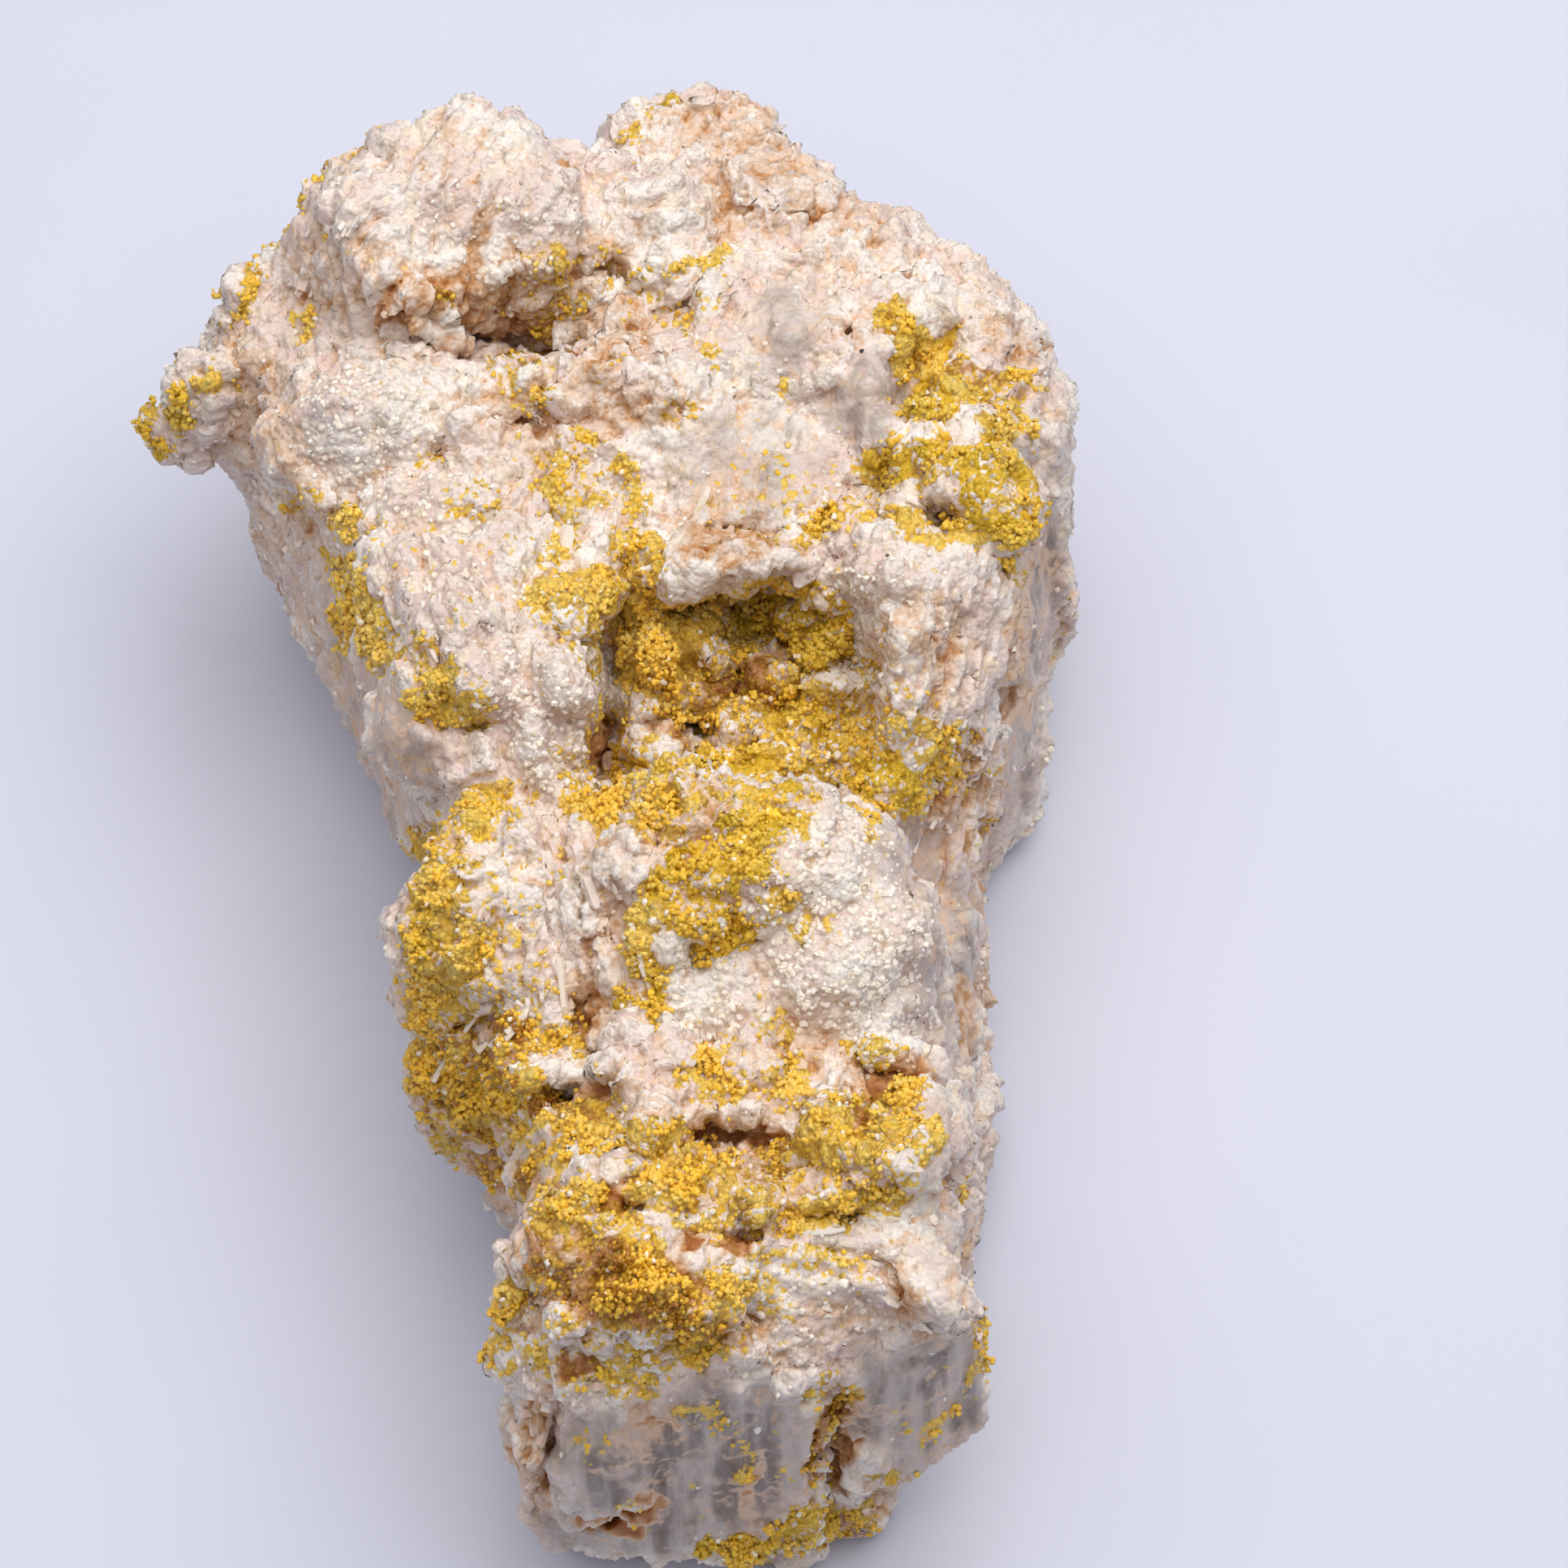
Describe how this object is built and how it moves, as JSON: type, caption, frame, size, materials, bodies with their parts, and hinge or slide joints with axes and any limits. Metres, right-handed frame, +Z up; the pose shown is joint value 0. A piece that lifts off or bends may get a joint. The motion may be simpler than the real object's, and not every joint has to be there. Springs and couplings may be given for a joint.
{
  "type": "pyromorphite specimen",
  "caption": "Club-shaped hand specimen of bladed white baryte with granular yellow-green pyromorphite crusts and an open lined hollow, lying on its flat broken underside.",
  "frame": {"origin": "on the resting plane, under the middle of the bounding box", "axes": "+Z up from the flat underside; the lump's length runs along Y, its narrow end towards -Y and its wide end towards +Y"},
  "size_m": [0.054, 0.0872, 0.034],
  "materials": {
    "baryte": "milky pinkish white, sugary and bladed, with tan stains in the crevices",
    "pyromorphite": "granular, glassy mustard yellow to olive"
  },
  "bodies": {
    "root": {"baryte_matrix": "baryte", "crust_hollow": "pyromorphite", "crust_shoulder": "pyromorphite", "crust_ridge": "pyromorphite", "crust_left_flank": "pyromorphite", "crust_left_nook": "pyromorphite", "crust_near_top": "pyromorphite", "crust_neck": "pyromorphite", "crust_horn": "pyromorphite"}
  },
  "joints": []
}
